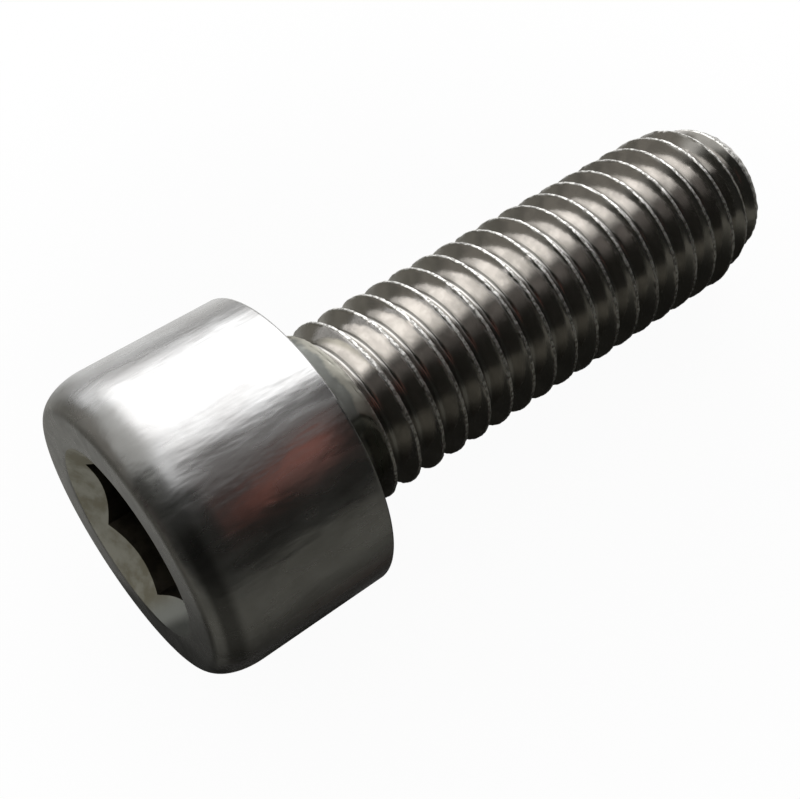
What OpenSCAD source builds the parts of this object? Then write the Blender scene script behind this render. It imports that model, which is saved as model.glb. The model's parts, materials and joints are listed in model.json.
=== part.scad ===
// Hex socket cap screw, M8 x 1.25, 25 mm under the head, one solid piece.
// Millimetres. The screw lies as it comes to rest: the head's rear edge and a thread
// crest near the tip touch z = 0, the socket faces -X and the tip points +X.

/* [Head] */
// head diameter
head_d = 13; // [10:0.1:16]
// head height, from the end face to the bearing face
head_h = 7.85; // [7:0.05:10]
// how far the rounded front rim reaches back along the head
rim_back = 1.9; // [0.4:0.1:2.4]
// how far the rounded front rim reaches in over the end face
rim_in = 1; // [0.3:0.1:1.2]
// rounding of the head's rear edge
rear_round = 0.3; // [0.1:0.05:0.6]

/* [Hex socket] */
// width across the flats of the socket
socket_af = 6.05; // [4:0.05:6.1]
// depth of the flats below the end face
socket_depth = 4.4; // [3:0.1:5]
// depth of the shallow cone that closes the socket
socket_point = 0.6; // [0.2:0.1:1]
// diameter of the countersunk mouth on the end face
mouth_d = 8.4; // [7.4:0.1:8.8]
// full angle of the countersink
mouth_angle = 110; // [90:1:130]
// turn of the hexagon round the axis
socket_turn = 47.5; // [0:0.5:59.5]

/* [Shank] */
// length under the head
shank_len = 24.8; // [16:0.1:30]
// diameter of the plain neck
neck_d = 7.8; // [7.4:0.05:7.8]
// fillet between the neck and the bearing face
fillet_r = 0.4; // [0.1:0.05:0.6]
// length of the neck up to the start of the threaded body
neck_len = 0.6; // [0.6:0.05:1]

/* [Thread] */
// diameter over the crests
thread_d = 7.85; // [7.85:0.01:8]
// pitch
pitch = 1.25; // [1:0.05:1.5]
// width of the flat on a crest
crest_w = 0.156; // [0.1:0.01:0.2]
// radius of the rounded root
root_r = 0.18; // [0.1:0.01:0.2]
// place of the first crest along the axis, at the lowest line of the screw
crest_at = 0.33; // [0:0.01:1.25]
// distance under the head at which the first groove begins
groove_at = 1.35; // [1.2:0.05:2.5]
// turns over which the first groove sinks to its full depth
runout_len = 0.25; // [0.1:0.05:1]

/* [Tip] */
// diameter of the flat end
tip_d = 6.2; // [5:0.1:6.3]
// length of the chamfer that tapers the last turns of the thread
tip_len = 2.25; // [1:0.05:3]

/* [Hidden] */
$fn = 96;
flank = 30;
columns = 40;
rim_steps = 12;
margin = 0.02;
over = 1;

head_r = head_d / 2;
neck_r = neck_d / 2;
crest_r = thread_d / 2;
tip_r = tip_d / 2;
bearing_z = head_h;
end_z = head_h + shank_len;
thread_z = bearing_z + neck_len;
spigot_r = tip_r / 2;
tip_z = end_z - tip_len;

// thread form: places along one pitch from the crest's middle, and depths below the crest
root_half = root_r * cos(flank);
root_low = root_r * sin(flank / 1.5);
flank_depth = (pitch / 2 - root_half - crest_w / 2) / tan(flank);
root_depth = flank_depth + root_r * (1 - sin(flank));
mid_depth = root_depth - root_r * (1 - cos(flank / 1.5));
form_z = [-crest_w / 2, crest_w / 2, pitch / 2 - root_half, pitch / 2 - root_low,
          pitch / 2 + root_low, pitch / 2 + root_half];
form_depth = [0, 0, flank_depth, mid_depth, mid_depth, flank_depth];
points = len(form_z);

// turns from the end face to the first groove
runout_turn = (head_h + groove_at - crest_at) / pitch - 0.5;

// the head's rear edge and the crest that gives the least lean carry the screw
edge_z = head_h - rear_round;
edge_r = head_r - rear_round;
first_crest = ceil((thread_z + pitch - crest_at) / pitch);
last_crest = floor((end_z - crest_w - crest_at) / pitch);
lean = min([for (n = [first_crest : last_crest], side = [-1, 1])
    lean_on(crest_at + pitch * n + side * crest_w / 2)]);
rest_z = edge_z * sin(lean) + edge_r * cos(lean) + rear_round;
// puts the origin under the middle of the part's length
middle_x = (end_z * cos(lean) + tip_r * sin(lean) - (head_r - rim_in) * sin(lean)) / 2;

// lean at which the floor touches the head's rear edge and a crest at z
function lean_on(z) = asin(rear_round / norm([z - edge_z, edge_r - tip_limit(z)]))
    + atan((edge_r - tip_limit(z)) / (z - edge_z));

// columns stand half a step off the lowest line, so the screw lies on a facet
function share(i) = (i + 0.5) / columns;
function turn_of(g) = floor(g / points);
function slot_of(g) = g - points * turn_of(g);
function place(i, g) = crest_at + pitch * (turn_of(g) + share(i)) + form_z[slot_of(g)];
function sink(c) = min(1, max(0, (c - runout_turn) / runout_len));

// the chamfer tapers from the crest diameter to the flat end
function tip_limit(z) = z <= tip_z ? crest_r : crest_r - (crest_r - tip_r) * (z - tip_z) / tip_len;
function radius(i, g) = min(tip_limit(place(i, g)),
    crest_r - form_depth[slot_of(g)] * sink(turn_of(g) + share(i)));

// first and last thread point of a column that lie inside the threaded body
function low(i) = let (g = floor(points * (thread_z - crest_at - pitch) / pitch) - points)
    min([for (k = [g : g + 4 * points]) if (place(i, k) > thread_z + margin) k]);
function high(i) = let (g = floor(points * (end_z - crest_at - pitch) / pitch) - points)
    max([for (k = [g : g + 4 * points]) if (place(i, k) < end_z - margin) k]);
function at(i, r, z) = [r * cos(360 * share(i)), r * sin(360 * share(i)), z];
function column(i) = concat([at(i, crest_r, thread_z)],
    [for (g = [low(i) : high(i)]) at(i, radius(i, g), place(i, g))],
    [at(i, tip_r, end_z)]);

// a column's first index in the list of all points
function starts(n, i = 0, sum = 0) = i > n ? []
    : concat([sum], starts(n, i + 1, sum + high(i % columns) - low(i % columns) + 3));

module cap_screw() {
    color([0.63, 0.62, 0.6])
    translate([-middle_x, 0, rest_z])
    rotate([0, 90 + lean, 0])
    union() {
        difference() {
            rotate([0, 0, 180]) head_and_neck();
            socket();
        }
        threaded_body();
    }
}

// turned outline of the head with its rounded rim, rear edge, fillet and neck
module head_and_neck() {
    rotate_extrude()
    difference() {
        union() {
            polygon(concat(
                [[0, thread_z + pitch], [0, 0]],
                [for (s = [0 : rim_steps]) let (t = 90 * s / rim_steps)
                    [head_r - rim_in + rim_in * sin(t), rim_back * (1 - cos(t))]],
                [[head_r, head_h - rear_round], [head_r - rear_round, head_h - rear_round],
                 [head_r - rear_round, head_h], [neck_r, head_h], [neck_r, thread_z],
                 [spigot_r, thread_z], [spigot_r, thread_z + pitch]]));
            translate([head_r - rear_round, head_h - rear_round]) circle(r = rear_round);
            translate([neck_r - over, head_h]) square([over + fillet_r, fillet_r]);
        }
        translate([neck_r + fillet_r, head_h + fillet_r]) circle(r = fillet_r);
    }
}

// hexagonal socket with a countersunk mouth and a shallow cone at the bottom
module socket() {
    mouth_h = mouth_d / 2 / tan(mouth_angle / 2);
    rotate([0, 0, socket_turn]) translate([0, 0, -over])
        cylinder(r = socket_af / sqrt(3), h = socket_depth + over, $fn = 6);
    translate([0, 0, socket_depth - margin])
        cylinder(d1 = socket_af, d2 = 0, h = socket_point + margin);
    cylinder(d1 = mouth_d, d2 = 0, h = mouth_h);
}

// right-hand thread: columns of points round the axis, each a little higher than the last
module threaded_body() {
    base = starts(columns);
    function id(i, g) = i < columns ? base[i] + 1 + g - low(i) : base[0] + 1 + g + points - low(0);
    function foot(i) = base[i % columns];
    function top(i) = base[i % columns + 1] - 1;
    function lo(i) = i < columns ? low(i) : low(0) - points;
    function hi(i) = i < columns ? high(i) : high(0) - points;
    faces = concat(
        [for (i = [0 : columns - 1], g = [lo(i) : hi(i + 1) - 1], s = [0, 1])
            s == 0 ? [id(i, g), id(i, g + 1), id(i + 1, g + 1)]
                   : [id(i, g), id(i + 1, g + 1), id(i + 1, g)]],
        [for (i = [0 : columns - 1]) [foot(i), id(i + 1, lo(i + 1)), foot(i + 1)]],
        [for (i = [0 : columns - 1]) if (lo(i + 1) < lo(i)) for (g = [lo(i + 1) : lo(i) - 1])
            [foot(i), id(i + 1, g + 1), id(i + 1, g)]],
        [for (i = [0 : columns - 1]) [foot(i), id(i, lo(i)), id(i + 1, lo(i))]],
        [for (i = [0 : columns - 1]) [top(i + 1), id(i, hi(i)), top(i)]],
        [for (i = [0 : columns - 1]) if (hi(i + 1) < hi(i)) for (g = [hi(i + 1) : hi(i) - 1])
            [top(i + 1), id(i, g), id(i, g + 1)]],
        [for (i = [0 : columns - 1]) [top(i + 1), id(i + 1, hi(i + 1)), id(i, hi(i + 1))]],
        [[for (i = [0 : columns - 1]) foot(i)]],
        [[for (i = [0 : columns - 1]) top(columns - 1 - i)]]);
    polyhedron(points = [for (i = [0 : columns - 1]) each column(i)], faces = faces, convexity = 20);
}

cap_screw();
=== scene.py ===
import json
import math

import bpy
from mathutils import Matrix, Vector, noise


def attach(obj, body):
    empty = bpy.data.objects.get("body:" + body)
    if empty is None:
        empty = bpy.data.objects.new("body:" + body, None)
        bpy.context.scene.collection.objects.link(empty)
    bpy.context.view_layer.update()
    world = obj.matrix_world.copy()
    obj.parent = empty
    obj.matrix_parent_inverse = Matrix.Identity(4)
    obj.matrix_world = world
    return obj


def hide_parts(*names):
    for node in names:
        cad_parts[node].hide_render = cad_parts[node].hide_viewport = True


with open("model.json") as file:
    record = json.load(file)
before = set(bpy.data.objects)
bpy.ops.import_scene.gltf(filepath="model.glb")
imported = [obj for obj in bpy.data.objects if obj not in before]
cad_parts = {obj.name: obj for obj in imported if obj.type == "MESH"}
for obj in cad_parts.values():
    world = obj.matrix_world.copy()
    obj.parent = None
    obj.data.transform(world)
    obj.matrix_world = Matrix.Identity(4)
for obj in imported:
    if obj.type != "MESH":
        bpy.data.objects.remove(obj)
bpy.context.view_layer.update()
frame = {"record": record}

# the part is modelled upright in millimetres, z running from the end face to the tip,
# and is laid down at its real size once it is whole
endFace = next(m for m in frame["record"]["mounts"] if m["name"] == "end_face")
lean = math.asin(endFace["axis"][2])
place = {"location": endFace["pos_m"], "turn": (0, math.pi / 2 + lean, 0), "scale": 0.001}


def smooth(low, high, value):
    # 0 at low, 1 at high, whichever is the larger
    t = min(1, max(0, (value - low) / (high - low)))
    return t * t * (3 - 2 * t)


def arc(centre, radii, start, end, steps):
    # points of an elliptical quarter in (radius, height), angles in degrees
    angles = [math.radians(start + (end - start) * s / steps) for s in range(steps + 1)]
    return [(centre[0] + radii[0] * math.cos(a), centre[1] + radii[1] * math.sin(a)) for a in angles]


def activate(*pieces):
    # only these are selected, and the first one is active
    bpy.ops.object.select_all(action="DESELECT")
    for piece in pieces:
        piece.select_set(True)
    bpy.context.view_layer.objects.active = pieces[0]


def drawProfile(name, points):
    # one vertex, extruded from point to point in the XZ plane
    bpy.ops.object.select_all(action="DESELECT")
    bpy.ops.mesh.primitive_plane_add(size=1, location=(points[0][0], 0, points[0][1]))
    piece = bpy.context.object
    piece.name = name
    bpy.ops.object.mode_set(mode="EDIT")
    bpy.ops.mesh.select_mode(type="VERT")
    bpy.ops.mesh.select_all(action="SELECT")
    bpy.ops.mesh.merge(type="CENTER")
    for a, b in zip(points, points[1:]):
        bpy.ops.mesh.extrude_region_move(
            TRANSFORM_OT_translate={"value": (b[0] - a[0], 0, b[1] - a[1])})
    bpy.ops.object.mode_set(mode="OBJECT")
    bpy.ops.object.transform_apply(location=True, rotation=False, scale=False)
    return piece


def turnProfile(piece, steps, rise=0.0, turns=1):
    # the lathe and the thread are the same modifier, without and with a rise
    bpy.context.view_layer.objects.active = piece
    screw = piece.modifiers.new("turn", "SCREW")
    screw.steps = screw.render_steps = steps
    screw.screw_offset = rise
    screw.iterations = turns
    screw.use_merge_vertices = rise == 0
    screw.merge_threshold = 0.0001
    bpy.ops.object.modifier_apply(modifier=screw.name)
    bpy.ops.object.mode_set(mode="EDIT")
    bpy.ops.mesh.select_all(action="SELECT")
    bpy.ops.mesh.remove_doubles(threshold=0.0002)
    bpy.ops.mesh.normals_make_consistent(inside=False)
    bpy.ops.object.mode_set(mode="OBJECT")
    return piece


def pick(piece, kind, test):
    # selects the faces or edges of a piece that a test on their place picks, and stays in edit mode
    mesh = piece.data
    bpy.ops.object.mode_set(mode="EDIT")
    bpy.ops.mesh.select_mode(type=kind)
    bpy.ops.mesh.select_all(action="DESELECT")
    bpy.ops.object.mode_set(mode="OBJECT")
    if kind == "FACE":
        for face in mesh.polygons:
            face.select = test(face.center, face.normal)
    else:
        for edge in mesh.edges:
            a, b = (mesh.vertices[i].co for i in edge.vertices)
            edge.select = test(a, b)
    bpy.ops.object.mode_set(mode="EDIT")


def levelEdge(height, slack=0.0002):
    # a test for the edges of a level cut
    return lambda a, b: max(abs(a.z - height), abs(b.z - height)) < slack


# head and neck, turned as one outline
head = {
    "radius": 6.482, "height": 7.85, "rimBack": 1.9, "rimIn": 1.0, "rimSteps": 18,
    "sideAt": (3.4, 4.9, 6.3), "rearRound": 0.14, "rearSteps": 7, "bearingAt": 5.2,
    "neckRadius": 3.9, "neckEnd": 8.36,
    "fillet": 0.4, "filletSteps": 6, "steps": 160,
    "mouthRadius": 4.2, "mouthAngle": 110, "mouthFloor": 1.4,
    # the mouth's broken edge: its width, and shares of it inwards and down the cone
    "mouthEdge": 0.14, "mouthBreak": ((1.2, 1.2), (0.3, 0.36), (-1, 0)),
}


def makeHead():
    slope = math.tan(math.radians(head["mouthAngle"] / 2))
    floorRadius = head["mouthRadius"] - head["mouthFloor"] * slope
    outline = [(0, head["mouthFloor"]), (floorRadius, head["mouthFloor"])]
    edge = head["mouthEdge"]
    outline += [(head["mouthRadius"] - edge * a, edge * b / slope) for a, b in head["mouthBreak"]]
    rim = (head["radius"] - head["rimIn"], head["rimBack"])
    outline += arc(rim, (head["rimIn"], head["rimBack"]), -90, 0, head["rimSteps"])
    outline += [(head["radius"], z) for z in head["sideAt"]]
    rear = (head["radius"] - head["rearRound"], head["height"] - head["rearRound"])
    outline += arc(rear, (head["rearRound"],) * 2, 0, 90, head["rearSteps"])
    outline.append((head["bearingAt"], head["height"]))
    foot = (head["neckRadius"] + head["fillet"], head["height"] + head["fillet"])
    outline += arc(foot, (head["fillet"],) * 2, -90, -180, head["filletSteps"])
    outline += [(head["neckRadius"], head["neckEnd"]), (0, head["neckEnd"])]
    return turnProfile(drawProfile("capScrew", outline), head["steps"])


# the hexagonal socket is a cutter: a prism with a shallow drilled cone at its bottom
socket = {"acrossFlats": 6.05, "depth": 4.4, "point": 0.6, "pointInset": 0.02, "turn": 47.5, "above": 1.0}


def cutSocket(piece):
    bpy.ops.object.select_all(action="DESELECT")
    length = socket["depth"] + socket["above"]
    bpy.ops.mesh.primitive_cylinder_add(
        vertices=6, radius=socket["acrossFlats"] / math.sqrt(3), depth=length,
        location=(0, 0, socket["depth"] - length / 2),
        rotation=(0, 0, math.radians(socket["turn"] - 30)))
    cutter = bpy.context.object
    bpy.ops.object.transform_apply(location=True, rotation=True, scale=True)
    pick(cutter, "FACE", lambda centre, normal: normal.z > 0.9)
    bpy.ops.mesh.inset(thickness=socket["pointInset"])
    bpy.ops.mesh.poke(offset=socket["point"])
    bpy.ops.object.mode_set(mode="OBJECT")
    activate(piece)
    cut = piece.modifiers.new("socket", "BOOLEAN")
    cut.operation, cut.solver, cut.object = "DIFFERENCE", "EXACT", cutter
    bpy.ops.object.modifier_apply(modifier=cut.name)
    bpy.data.objects.remove(cutter, do_unlink=True)


# rolled thread: one pitch of the form, swept up the shank
thread = {
    "radius": 3.925, "pitch": 1.25, "flank": 30, "crestFlat": 0.156, "crestHalf": 0.055, "root": 0.18,
    "flankShares": (0.07, 0.2, 0.86, 1), "rootAngles": (40, 20), "steps": 240,
    # heights from the end face
    "crestAt": 0.33, "start": 8.45, "startBlend": 0.08, "grooveAt": 9.2, "end": 32.65,
    # the first groove sinks over this share of a turn; the thread is cut this far above the neck's end
    "runout": 0.05, "cutAbove": 0.06,
    # over the chamfer the grooves lose this share of their depth, from this share of its length on
    "tipRadius": 3.1, "tipLength": 2.25, "shallow": 0.85, "shallowFrom": 0.4,
    # the tip's broken edge: its height, and the share of it and the narrowing of each ring
    "tipEdge": 0.06, "tipRings": ((0.55, 0.992), (0.35, 0.985), (0.1, 0.98)),
}

# what rolling and use have left on the crests, the neck and the tip
wear = {
    "crestDepth": 0.02, "ragged": 0.035, "raggedFrom": 0.4,
    "raggedScales": (2.3, 6.1), "raggedAt": (7, 1, 3),
    "wander": 0.04, "wanderScale": 4.3, "wanderAt": (2, 9, 4), "wanderEnds": (0.3, 0.9),
    "lump": 0.07, "lumpFrom": 0.3, "lumpStretch": (1.2, 1.2, 1.6), "lumpStarts": (8.45, 8.75),
    "burr": 0.05, "burrScale": 3, "burrAt": 4, "burrStarts": (0.45, 0.1),
}


def threadForm():
    # (radius, height) over one pitch, from the crest's far edge to the next one's
    radius, pitch, root = thread["radius"], thread["pitch"], thread["root"]
    half, flank = thread["crestHalf"], math.radians(thread["flank"])
    rootHalf = root * math.cos(flank)
    flankDepth = (pitch / 2 - rootHalf - thread["crestFlat"] / 2) / math.tan(flank)
    bottom = radius - flankDepth - root * (1 - math.sin(flank))
    side = [(radius, half)]
    for t in thread["flankShares"]:
        side.append((radius - flankDepth * t, half + (pitch / 2 - rootHalf - half) * t))
    for angle in thread["rootAngles"]:
        a = math.radians(angle)
        side.append((bottom + root * (1 - math.cos(a)), pitch / 2 - root * math.sin(a)))
    back = [(r, pitch - z) for r, z in reversed(side)]
    return [(radius, -half), (radius, 0)] + side + [(bottom, pitch / 2)] + back


def taper(z, depth):
    # over the chamfer the crests come down to the tip's radius, and the grooves get shallow
    share = max(0, (z - thread["end"]) / thread["tipLength"] + 1)
    lost = thread["shallow"] * smooth(thread["shallowFrom"], 1, share)
    return (thread["radius"] - thread["tipRadius"]) * share - depth * lost


def wearCrest(x, y, z, sink):
    # how deep a crest is dented at a place, and how far it strays along the screw
    at = Vector((x, y, z))
    coarse, fine = wear["raggedScales"]
    dent = noise.noise(at * coarse) * 0.5 + noise.noise(at * fine + Vector(wear["raggedAt"])) * 0.5
    held = smooth(thread["end"] - wear["wanderEnds"][0], thread["end"] - wear["wanderEnds"][1], z)
    stray = held * noise.noise(at * wear["wanderScale"] + Vector(wear["wanderAt"]))
    return wear["ragged"] * sink * max(0, wear["raggedFrom"] + dent), wear["wander"] * sink * stray


def wearThread(piece):
    # the first groove runs out, the tip is tapered, and the rolled crests are ragged
    pitch, radius = thread["pitch"], thread["radius"]
    runoutTurn = (thread["grooveAt"] - thread["crestAt"]) / pitch - 0.5
    for vertex in piece.data.vertices:
        x, y, z = vertex.co
        share = (math.atan2(y, x) / (2 * math.pi)) % 1
        turns = (z - thread["crestAt"]) / pitch - share
        crest = math.floor(turns + 0.5 * thread["crestFlat"] / pitch + 0.0001)
        sink = smooth(0, 1, (crest + share - runoutTurn) / thread["runout"])
        depth = (radius - math.hypot(x, y)) * sink
        if depth < wear["crestDepth"]:
            dent, stray = wearCrest(x, y, z, sink)
            depth += dent
            z += stray
        starting = smooth(thread["start"] - thread["startBlend"], thread["start"], z)
        plain = radius - (radius - head["neckRadius"]) * (1 - starting)
        bump = noise.noise(Vector([v * s for v, s in zip((x, y, z), wear["lumpStretch"])]))
        lump = (1 - sink) * smooth(*wear["lumpStarts"], z) * max(0, wear["lumpFrom"] + bump)
        tip = smooth(thread["end"] - wear["burrStarts"][0], thread["end"] - wear["burrStarts"][1], z)
        burr = tip * noise.noise(Vector((x * wear["burrScale"], y * wear["burrScale"], wear["burrAt"])))
        now = plain - depth - taper(z, depth) - wear["lump"] * lump + wear["burr"] * burr
        k = now / math.hypot(x, y)
        vertex.co = (x * k, y * k, z)


def makeThread():
    pitch = thread["pitch"]
    first = thread["crestAt"] + pitch * math.floor((head["neckEnd"] - thread["crestAt"]) / pitch - 1)
    turns = math.ceil((thread["end"] - first) / pitch) + 1
    form = [(r, first + z) for r, z in threadForm()]
    piece = turnProfile(drawProfile("thread", form), thread["steps"], pitch, turns)
    low, high = head["neckEnd"] + thread["cutAbove"], thread["end"] - thread["tipEdge"]
    bpy.ops.object.mode_set(mode="EDIT")
    for height, above in ((low, False), (high, True)):
        bpy.ops.mesh.select_all(action="SELECT")
        bpy.ops.mesh.bisect(plane_co=(0, 0, height), plane_no=(0, 0, 1),
                            clear_inner=not above, clear_outer=above)
    bpy.ops.object.mode_set(mode="OBJECT")
    wearThread(piece)
    # the flat end, with its edge broken
    pick(piece, "EDGE", levelEdge(high))
    for share, narrow in thread["tipRings"]:
        bpy.ops.mesh.extrude_edges_move(TRANSFORM_OT_translate={"value": (0, 0, share * thread["tipEdge"])})
        bpy.ops.transform.resize(value=(narrow, narrow, 1), center_override=(0, 0, high))
    bpy.ops.mesh.edge_face_add()
    bpy.ops.object.mode_set(mode="OBJECT")
    return piece


def joinScrew(piece, shank):
    # the neck's end cap goes, and its ring is bridged to the thread's
    pick(piece, "FACE", lambda centre, normal: centre.z > head["neckEnd"] - 0.001 and normal.z > 0.9)
    bpy.ops.mesh.delete(type="FACE")
    bpy.ops.object.mode_set(mode="OBJECT")
    activate(piece, shank)
    bpy.ops.object.join()
    onNeck, onThread = levelEdge(head["neckEnd"]), levelEdge(head["neckEnd"] + thread["cutAbove"])
    pick(piece, "EDGE", lambda a, b: onNeck(a, b) or onThread(a, b))
    bpy.ops.mesh.bridge_edge_loops()
    bpy.ops.mesh.select_all(action="SELECT")
    bpy.ops.mesh.normals_make_consistent(inside=False)
    bpy.ops.object.mode_set(mode="OBJECT")


capScrew = makeHead()
print("head turned:", len(capScrew.data.polygons), "faces")
cutSocket(capScrew)
print("socket cut:", len(capScrew.data.polygons), "faces")
shank = makeThread()
print("thread rolled:", len(shank.data.polygons), "faces")
joinScrew(capScrew, shank)
print("screw joined:", len(capScrew.data.polygons), "faces")


# shading
class Value:
    # a node's output that takes part in sums
    def __init__(self, paint, socket):
        self.paint, self.socket = paint, socket

    def calc(self, operation, *values):
        return self.paint.node("Math", {"operation": operation}, dict(enumerate(values)))

    def __add__(self, other):
        return self.calc("ADD", self, other)

    def __radd__(self, other):
        return self.calc("ADD", other, self)

    def __sub__(self, other):
        return self.calc("SUBTRACT", self, other)

    def __rsub__(self, other):
        return self.calc("SUBTRACT", other, self)

    def __mul__(self, other):
        return self.calc("MULTIPLY", self, other)

    def __rmul__(self, other):
        return self.calc("MULTIPLY", other, self)

    def __pow__(self, other):
        return self.calc("POWER", self, other)


class Paint:
    # a material's or a world's nodes
    def __init__(self, name, world=None):
        self.owner = world or bpy.data.materials.new(name)
        self.owner.use_nodes = True
        self.tree = self.owner.node_tree
        self.tree.nodes.clear()

    def node(self, kind, settings=None, sockets=None, out=0):
        made = self.tree.nodes.new("ShaderNode" + kind)
        for key, value in (settings or {}).items():
            setattr(made, key, value)
        for key, value in (sockets or {}).items():
            if isinstance(value, Value):
                self.tree.links.new(value.socket, made.inputs[key])
            else:
                made.inputs[key].default_value = value
        return Value(self, made.outputs[out])

    def ramp(self, low, high, value):
        # 0 below low, 1 above high, smooth between
        return self.node("MapRange", {"interpolation_type": "SMOOTHSTEP"},
                         {"Value": value, "From Min": low, "From Max": high})

    def blend(self, factor, a, b):
        return self.node("Mix", {"data_type": "RGBA"}, {0: factor, 6: a, 7: b}, out=2)

    def noise(self, vector, scale, detail, rough=0.5):
        return self.node("TexNoise", {}, {
            "Vector": vector, "Scale": scale, "Detail": detail, "Roughness": rough})

    def vector(self, operation, a, b=(0, 0, 0), out="Vector"):
        return self.node("VectorMath", {"operation": operation}, {0: a, 1: b}, out)

    def split(self, vector):
        apart = self.node("SeparateXYZ", {}, {0: vector}).socket.node
        return [Value(self, output) for output in apart.outputs]

    def emit(self, colour):
        return self.node("Emission", {}, {"Color": colour, "Strength": 1.0})

    def finish(self, shader):
        kind = "World" if isinstance(self.owner, bpy.types.World) else "Material"
        output = self.tree.nodes.new("ShaderNodeOutput" + kind)
        self.tree.links.new(shader.socket, output.inputs["Surface"])
        return self.owner


def grey(level, warm=0.0):
    return (level * (1 + warm), level, level * (1 - warm), 1)


def screwFrame(paint):
    # object coordinates as millimetres in the screw's own frame
    return paint.node("Mapping", {"vector_type": "TEXTURE"}, {
        "Vector": paint.node("TexCoord", out="Object"), "Location": place["location"],
        "Rotation": place["turn"], "Scale": (place["scale"],) * 3})


def lengthwise(paint, at):
    # distance from the end face
    return paint.split(at)[2]


def towards(paint, at, angle):
    # distance from the axis in one direction across the screw
    a = math.radians(angle)
    return paint.vector("DOT_PRODUCT", at, (math.cos(a), math.sin(a), 0), "Value")


def metal(paint, colour, rough, height, bump, metallic=1.0):
    # bump is a strength and a depth in metres
    raised = paint.node("Bump", {}, {"Strength": bump[0], "Distance": bump[1], "Height": height})
    return paint.finish(paint.node("BsdfPrincipled", {}, {
        "Base Color": colour, "Metallic": metallic, "Roughness": rough, "Normal": raised}))


# pairs are the two ends of a ramp: in noise, in distance from the end face, or in distance from the axis
headFinishAndShade = {
    "colour": grey(0.63), "dull": grey(0.52, 0.01), "cloudScale": 0.45, "cloud": (0.35, 0.65),
    "streakStretch": (1.0, 1.0, 0.28), "streakScale": 1.0, "streak": (0.4, 0.65), "bump": (0.5, 0.0001),
    "rough": 0.22, "roughMore": 0.08, "roughRim": 0.05, "rimEnds": (1.0, 3.2),
    "face": grey(0.36, 0.01), "faceEnds": (0.02, 0.16),
    # low, dark and band are painted shade: the end face's lower side, a crescent at its lower edge and a
    # band along the lower rim
    "low": grey(0.17, 0.01), "lowSide": 300, "lowAcross": (2.6, 4.2),
    "dark": grey(0.075), "darkSide": 335, "darkAcross": (3.3, 4.3), "darkEnds": (0.3, 0.7),
    "band": grey(0.24, 0.01), "bandSide": 248, "bandAcross": (4.5, 5.8),
    "bandStarts": (0.25, 0.5), "bandEnds": (0.8, 1.25),
}


def headMetal():
    look = headFinishAndShade
    paint = Paint("turned steel")
    at = screwFrame(paint)
    along = lengthwise(paint, at)
    cloud = paint.noise(at, look["cloudScale"], detail=3.0)
    drawn = paint.vector("MULTIPLY", at, look["streakStretch"])
    streak = paint.noise(drawn, look["streakScale"], detail=3.0)
    colour = paint.blend(paint.ramp(*look["cloud"], cloud), look["colour"], look["dull"])
    # the end face is darker; painted shade darkens its lower side, a crescent at its lower edge and a band
    # along the lower rim
    low = paint.ramp(*look["lowAcross"], towards(paint, at, look["lowSide"]))
    face = paint.blend(low, look["face"], look["low"])
    colour = paint.blend(paint.ramp(*look["faceEnds"], along), face, colour)
    dark = paint.ramp(*look["darkAcross"], towards(paint, at, look["darkSide"]))
    colour = paint.blend(dark * (1 - paint.ramp(*look["darkEnds"], along)), colour, look["dark"])
    band = paint.ramp(*look["bandStarts"], along) * (1 - paint.ramp(*look["bandEnds"], along))
    band = band * paint.ramp(*look["bandAcross"], towards(paint, at, look["bandSide"]))
    colour = paint.blend(band, colour, look["band"])
    rough = look["rough"] + look["roughMore"] * paint.ramp(*look["streak"], streak)
    rough = rough + look["roughRim"] * (1 - paint.ramp(*look["rimEnds"], along))
    return metal(paint, colour, rough, streak, look["bump"])


threadFinish = {
    "colour": (0.67, 0.645, 0.615, 1), "dull": (0.55, 0.53, 0.503, 1),
    "cloudScale": 0.9, "cloud": (0.4, 0.62),
    "root": (0.43, 0.42, 0.4, 1), "rootShare": 0.6, "rootDeep": (0.55, 0.78),
    "crest": (0.88, 0.87, 0.84, 1), "crestDull": (0.36, 0.35, 0.33, 1), "crestDeep": (0.025, 0.05),
    "crestGrain": 0.03, "grainScale": 8.0, "speckScale": 7.0, "speck": (0.47, 0.58),
    "neck": (0.22, 0.225, 0.21, 1), "turn": (0.38, 0.37, 0.325, 1), "tornScale": 1.1, "torn": 0.6,
    "neckEnds": (9.3, 9.5), "turnEnds": (9.8, 9.95), "threadStarts": (9.4, 9.9),
    "rough": 0.14, "roughMore": 0.05, "roughCloud": (0.4, 0.6), "roughCrest": 0.28, "roughNeck": 0.2,
    "bump": (0.3, 0.00002), "bumpCloud": 0.6, "bumpGrain": 0.1,
}


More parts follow.
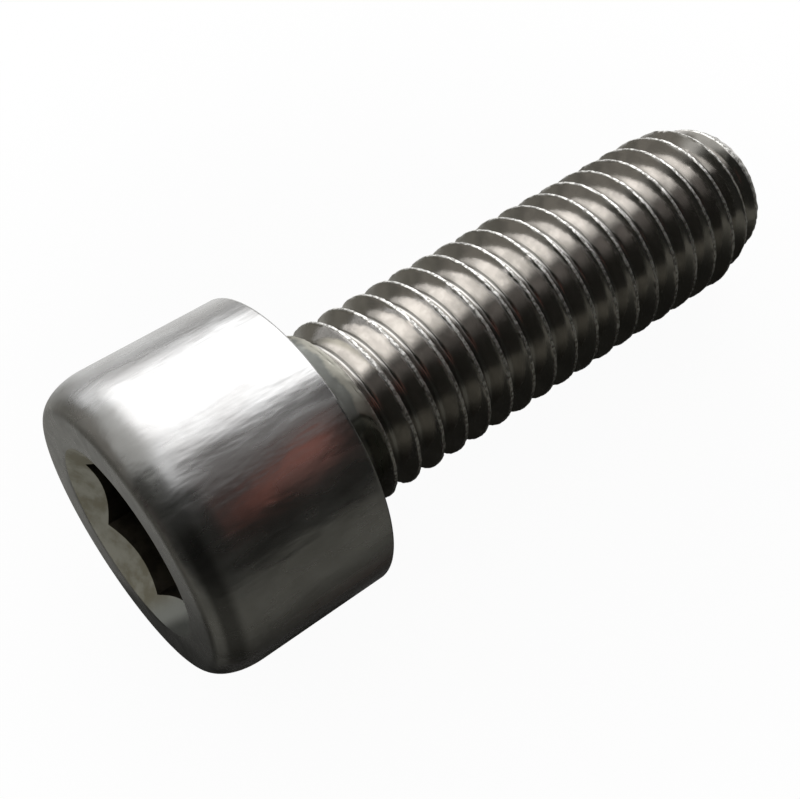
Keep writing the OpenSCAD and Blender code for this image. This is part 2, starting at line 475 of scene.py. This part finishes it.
def threadMetal():
    look = threadFinish
    paint = Paint("rolled steel")
    at = screwFrame(paint)
    along = lengthwise(paint, at)
    # depth under the crests, which come down over the chamfer
    chamfer = along - (thread["end"] - thread["tipLength"])
    fall = (thread["radius"] - thread["tipRadius"]) / thread["tipLength"]
    reach = paint.vector("LENGTH", paint.vector("MULTIPLY", at, (1, 1, 0)), out="Value")
    deep = thread["radius"] - chamfer.calc("MAXIMUM", chamfer, 0) * fall - reach
    cloud = paint.noise(at, look["cloudScale"], detail=4.0, rough=0.6)
    grain = paint.noise(at, look["grainScale"], detail=3.0, rough=0.6)
    colour = paint.blend(paint.ramp(*look["cloud"], cloud), look["colour"], look["dull"])
    colour = paint.blend(paint.ramp(*look["rootDeep"], deep) * look["rootShare"], colour, look["root"])
    # the crests are rough and speckled
    edge = 1 - paint.ramp(*look["crestDeep"], deep + (grain - 0.5) * look["crestGrain"])
    threaded = paint.ramp(*look["threadStarts"], along)
    speck = paint.noise(at, look["speckScale"], detail=3.0, rough=0.6)
    speck = paint.ramp(*look["speck"], speck) * threaded
    colour = paint.blend(edge, colour, paint.blend(speck, look["crest"], look["crestDull"]))
    # the neck and the torn first turn are grey
    torn = paint.noise(at, look["tornScale"], detail=3.0, rough=0.6)
    torn = along + (torn - 0.5) * look["torn"]
    neck = paint.blend(paint.ramp(*look["neckEnds"], torn), look["neck"], look["turn"])
    colour = paint.blend(paint.ramp(*look["turnEnds"], along), neck, colour)
    rough = look["rough"] + look["roughMore"] * paint.ramp(*look["roughCloud"], cloud)
    rough = rough + look["roughCrest"] * edge + look["roughNeck"] * (1 - threaded)
    return metal(paint, colour, rough, cloud * look["bumpCloud"] + grain * look["bumpGrain"], look["bump"])


# the countersink is pale and rough; the walls' dark colour is painted shade inside the socket
socketFinishAndShade = {
    "cone": {"colour": (0.46, 0.45, 0.38, 1), "dull": (0.3, 0.28, 0.21, 1),
             "rough": 0.6, "metallic": 0.55},
    "wall": {"colour": (0.16, 0.14, 0.11, 1), "dull": (0.08, 0.07, 0.055, 1),
             "rough": 0.4, "metallic": 1.0},
    "cloudScale": 0.8, "cloud": (0.38, 0.62), "bump": (0.3, 0.00003),
    # painted shade on the cone's lower side: a bluish grey, then dark towards its outer edge
    "lowSide": 300, "low": (0.4, 0.41, 0.38, 1), "lowAcross": (2.2, 3.2),
    "dark": (0.12, 0.125, 0.115, 1), "darkAcross": (3.25, 3.8),
}


def socketMetal(part):
    look, own = socketFinishAndShade, socketFinishAndShade[part]
    paint = Paint("socket " + part)
    at = screwFrame(paint)
    cloud = paint.noise(at, look["cloudScale"], detail=5.0, rough=0.6)
    colour = paint.blend(paint.ramp(*look["cloud"], cloud), own["colour"], own["dull"])
    if part == "cone":
        # painted shade: the cone turns bluish grey and then dark on its lower side
        below = towards(paint, at, look["lowSide"])
        colour = paint.blend(paint.ramp(*look["lowAcross"], below), colour, look["low"])
        colour = paint.blend(paint.ramp(*look["darkAcross"], below), colour, look["dark"])
    return metal(paint, colour, own["rough"], cloud, look["bump"], own["metallic"])


# how far past the socket's depth, its mouth, its cone and the end face a face still belongs to them
zones = {"below": 1, "mouth": 0.03, "cone": 0.12, "face": 0.001, "faceFrom": 4}


def zoneOf(face):
    # 0 head and neck, 1 thread, 2 countersink, 3 inside of the socket
    r, z = math.hypot(face.center.x, face.center.y), face.center.z
    if z > head["neckEnd"]:
        return 1
    onFace = z < zones["face"] and r > zones["faceFrom"]
    if z > socket["depth"] + zones["below"] or r > head["mouthRadius"] + zones["mouth"] or onFace:
        return 0
    coneRadius = head["mouthRadius"] - z * math.tan(math.radians(head["mouthAngle"] / 2))
    return 2 if abs(r - coneRadius) < zones["cone"] else 3


def dress(piece, sharp=28):
    # edges above the sharp angle stay sharp
    for look in (headMetal(), threadMetal(), socketMetal("cone"), socketMetal("wall")):
        piece.data.materials.append(look)
    for face in piece.data.polygons:
        face.material_index = zoneOf(face)
    activate(piece)
    bpy.ops.object.shade_smooth_by_angle(angle=math.radians(sharp))
    piece.scale = (place["scale"],) * 3
    piece.rotation_euler = place["turn"]
    piece.location = place["location"]
    bpy.ops.object.transform_apply(location=True, rotation=True, scale=True)


dress(capScrew)
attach(capScrew, "root")
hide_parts("cap_screw")
print("screw dressed:", sum(len(f.vertices) - 2 for f in capScrew.data.polygons), "triangles")

# a pale floor, which shows white to the camera and keeps the shadow near the screw
# shadow: between these distances the floor turns plain white
studio = {"floorSize": 1.2, "floor": 0.8, "white": 0.955, "level": 0.55, "shadow": (0.012, 0.034)}


def seen(paint):
    # 1 for rays from the camera, and for what metal and glass show
    light = paint.node("LightPath").socket.node
    camera, glossy, clear = (Value(paint, light.outputs["Is %s Ray" % ray])
                             for ray in ("Camera", "Glossy", "Transmission"))
    return camera.calc("MAXIMUM", camera.calc("MAXIMUM", camera, glossy), clear)


def makeFloor():
    bpy.ops.object.select_all(action="DESELECT")
    bpy.ops.mesh.primitive_plane_add(size=studio["floorSize"], location=(0, 0, 0))
    floor = bpy.context.object
    floor.name = "floor"
    paint = Paint("pale floor")
    diffuse = paint.node("BsdfDiffuse", {}, {"Color": grey(studio["floor"])})
    away = paint.vector("LENGTH", paint.node("TexCoord", out="Object"), out="Value")
    white = studio["white"] + (1 - studio["white"]) * paint.ramp(*studio["shadow"], away)
    shader = paint.node("MixShader", {}, {0: seen(paint) * white, 1: diffuse, 2: paint.emit(grey(1))})
    floor.data.materials.append(paint.finish(shader))


def makeWorld():
    world = bpy.data.worlds.new("studio")
    bpy.context.scene.world = world
    paint = Paint("", world)
    shown, fill = (paint.node("Background", {}, {"Color": grey(1), "Strength": strength})
                   for strength in (1.0, studio["level"]))
    paint.finish(paint.node("MixShader", {}, {0: seen(paint), 1: fill, 2: shown}))


def direction(azimuth, elevation):
    a, e = math.radians(azimuth), math.radians(elevation)
    return Vector((math.sin(a) * math.cos(e), math.cos(a) * math.cos(e), math.sin(e)))


def softbox(name, azimuth, elevation, distance, size, level):
    # it lights the floor and the socket, and doesn't show in the metal
    data = bpy.data.lights.new(name, "AREA")
    data.shape, data.size, data.size_y = "RECTANGLE", size[0], size[1]
    data.energy = level * math.pi * size[0] * size[1]
    lamp = bpy.data.objects.new(name, data)
    bpy.context.scene.collection.objects.link(lamp)
    lamp.location = direction(azimuth, elevation) * distance
    lamp.rotation_euler = direction(azimuth, elevation).to_track_quat("Z", "Y").to_euler()
    lamp.visible_glossy = False


def makeCard(name):
    bpy.ops.object.select_all(action="DESELECT")
    bpy.ops.mesh.primitive_grid_add(x_subdivisions=24, y_subdivisions=16, size=1)
    flag = bpy.context.object
    flag.name = name
    return flag


def hide(flag):
    # from everything but the metal
    for ray in ("camera", "diffuse", "transmission", "volume_scatter", "shadow"):
        setattr(flag, "visible_" + ray, False)


def hang(flag, colour, soft):
    # soft edges left, right, below and above, as shares of the card
    paint = Paint(flag.name)
    across, up, _ = paint.split(paint.node("TexCoord", out="UV"))
    solid = 1
    for inwards, width in zip((across, 1 - across, up, 1 - up), soft):
        if width > 0:
            solid = paint.ramp(0, width, inwards) * solid
    clear = paint.node("BsdfTransparent")
    shader = paint.node("MixShader", {}, {0: solid, 1: clear, 2: paint.emit(colour + (1,))})
    flag.data.materials.append(paint.finish(shader))
    hide(flag)


def card(name, azimuths, elevations, colour, soft, distance=0.5):
    # a curved card that stands round the screw between two azimuths and elevations, a painted reflection
    # that only the metal sees
    flag = makeCard(name)
    for vertex in flag.data.vertices:
        turned = azimuths[0] + (vertex.co.x + 0.5) * (azimuths[1] - azimuths[0])
        raised = elevations[0] + (vertex.co.y + 0.5) * (elevations[1] - elevations[0])
        vertex.co = direction(turned, raised) * distance
    hang(flag, colour, soft)


def strip(name, middle, along, across, colour, soft):
    # a flat card near the screw, given by its middle and its two half sides, a painted reflection that only
    # the metal sees
    flag = makeCard(name)
    for vertex in flag.data.vertices:
        vertex.co = (Vector(middle) + 2 * vertex.co.x * Vector(along) + 2 * vertex.co.y * Vector(across))
    hang(flag, colour, soft)


# a glossy sheet under the screw, which the metal sees in place of the floor: a painted reflection of the
# floor, with the screw's shadow painted on it
sheet = {
    "reach": 0.55, "lift": 0.00003, "colour": (0.083, 0.081, 0.069), "shine": 0.36, "rough": 0.2,
    # it is dark below the screw, a painted shadow, and pale in a ring round it, painted light, which fades:
    # distances in metres
    "halfLength": 0.013, "aside": 0.004, "clear": (0.002, 0.015), "ring": (0.04, 0.14),
    "fade": 0.6, "dark": 0.12,
}


def darkSheet():
    flag = makeCard("sheet")
    for vertex in flag.data.vertices:
        vertex.co = (vertex.co.x * 2 * sheet["reach"], vertex.co.y * 2 * sheet["reach"], sheet["lift"])
    paint = Paint("sheet")
    x, y, _ = paint.split(paint.node("TexCoord", out="Object"))
    along = x.calc("MAXIMUM", x.calc("ABSOLUTE", x) - sheet["halfLength"], 0)
    beside = y + sheet["aside"]
    away = (along * along + beside * beside) ** 0.5
    clear = paint.ramp(*sheet["clear"], away)
    ring = clear * (1 - sheet["fade"] * paint.ramp(*sheet["ring"], away))
    dark = tuple(v * sheet["dark"] for v in sheet["colour"])
    # the glow paints the floor's reflection, dark in the screw's painted shadow
    glow = paint.emit(paint.blend(ring, dark + (1,), sheet["colour"] + (1,)))
    shine = paint.blend(clear, grey(sheet["shine"] * sheet["dark"]), grey(sheet["shine"]))
    mirror = paint.node("BsdfAnisotropic", {}, {"Color": shine, "Roughness": sheet["rough"]})
    flag.data.materials.append(paint.finish(paint.node("AddShader", {}, {0: glow, 1: mirror})))
    hide(flag)


makeFloor()
makeWorld()
softbox("windowLamp", azimuth=45, elevation=42, distance=0.30, size=(0.22, 0.18), level=1.6)
# painted reflections: the bright cards glow though they are no lamps, and with the dark ones they give the
# metal its window, sky, haze, red streak and dark surroundings
# each card: name, azimuths, elevations, colour, soft edges
card("window", (-4, 86), (9, 79), (2.1, 2.1, 2.1), (0.14, 0.14, 0.14, 0.33))
card("skylight", (58, 106), (57, 84), (0.85, 0.85, 0.85), (0.3, 0.3, 0.25, 0.2), distance=0.51)
strip("redCard", middle=(-0.0014, -0.0186, 0.0266), along=(0.0036, 0.0070, 0.0002),
      across=(-0.0004, -0.0045, -0.0034), colour=(0.3, 0.12, 0.095), soft=(0.4, 0.3, 0.35, 0.35))
card("redRim", (-100, -76), (4, 18), (0.042, 0.027, 0.025), (0.3, 0.3, 0.3, 0.3), distance=0.5)
card("hazeRight", (98, 160), (39, 82), (0.19, 0.18, 0.175), (0.3, 0.4, 0.45, 0.2), distance=0.49)
card("flagRight", (66, 262), (-2, 84), (0.016, 0.016, 0.014), (0.17, 0.02, 0, 0.12), distance=0.52)
card("flagLeft", (-76, -14), (-2, 38), (0.19, 0.18, 0.16), (0.25, 0.2, 0, 0.3), distance=0.52)
card("flagDark", (-150, -60), (-2, 62), (0.025, 0.024, 0.02), (0.02, 0.25, 0, 0.3), distance=0.53)
card("hazeLeft", (-84, 8), (10, 86), (0.55, 0.55, 0.53), (0.35, 0.1, 0.3, 0.1), distance=0.54)
card("flagBase", (-150, -8), (-2, 84), (0.12, 0.12, 0.11), (0, 0.1, 0, 0.1), distance=0.56)
darkSheet()
print("studio set")

view = {
    "location": (-0.0207500, -0.0239194, 0.0500098), "turn": (28.8516, 0, -40.1709),
    "lens": 56.7845, "shift": (-0.05, 0.1169), "clip": (0.002, 5),
}
camera = bpy.data.objects.new("camera", bpy.data.cameras.new("camera"))
bpy.context.scene.collection.objects.link(camera)
camera.location = view["location"]
camera.rotation_euler = [math.radians(v) for v in view["turn"]]
camera.data.lens = view["lens"]
camera.data.shift_x, camera.data.shift_y = view["shift"]
camera.data.clip_start, camera.data.clip_end = view["clip"]
bpy.context.scene.camera = camera
bpy.context.scene.view_settings.view_transform = "Standard"
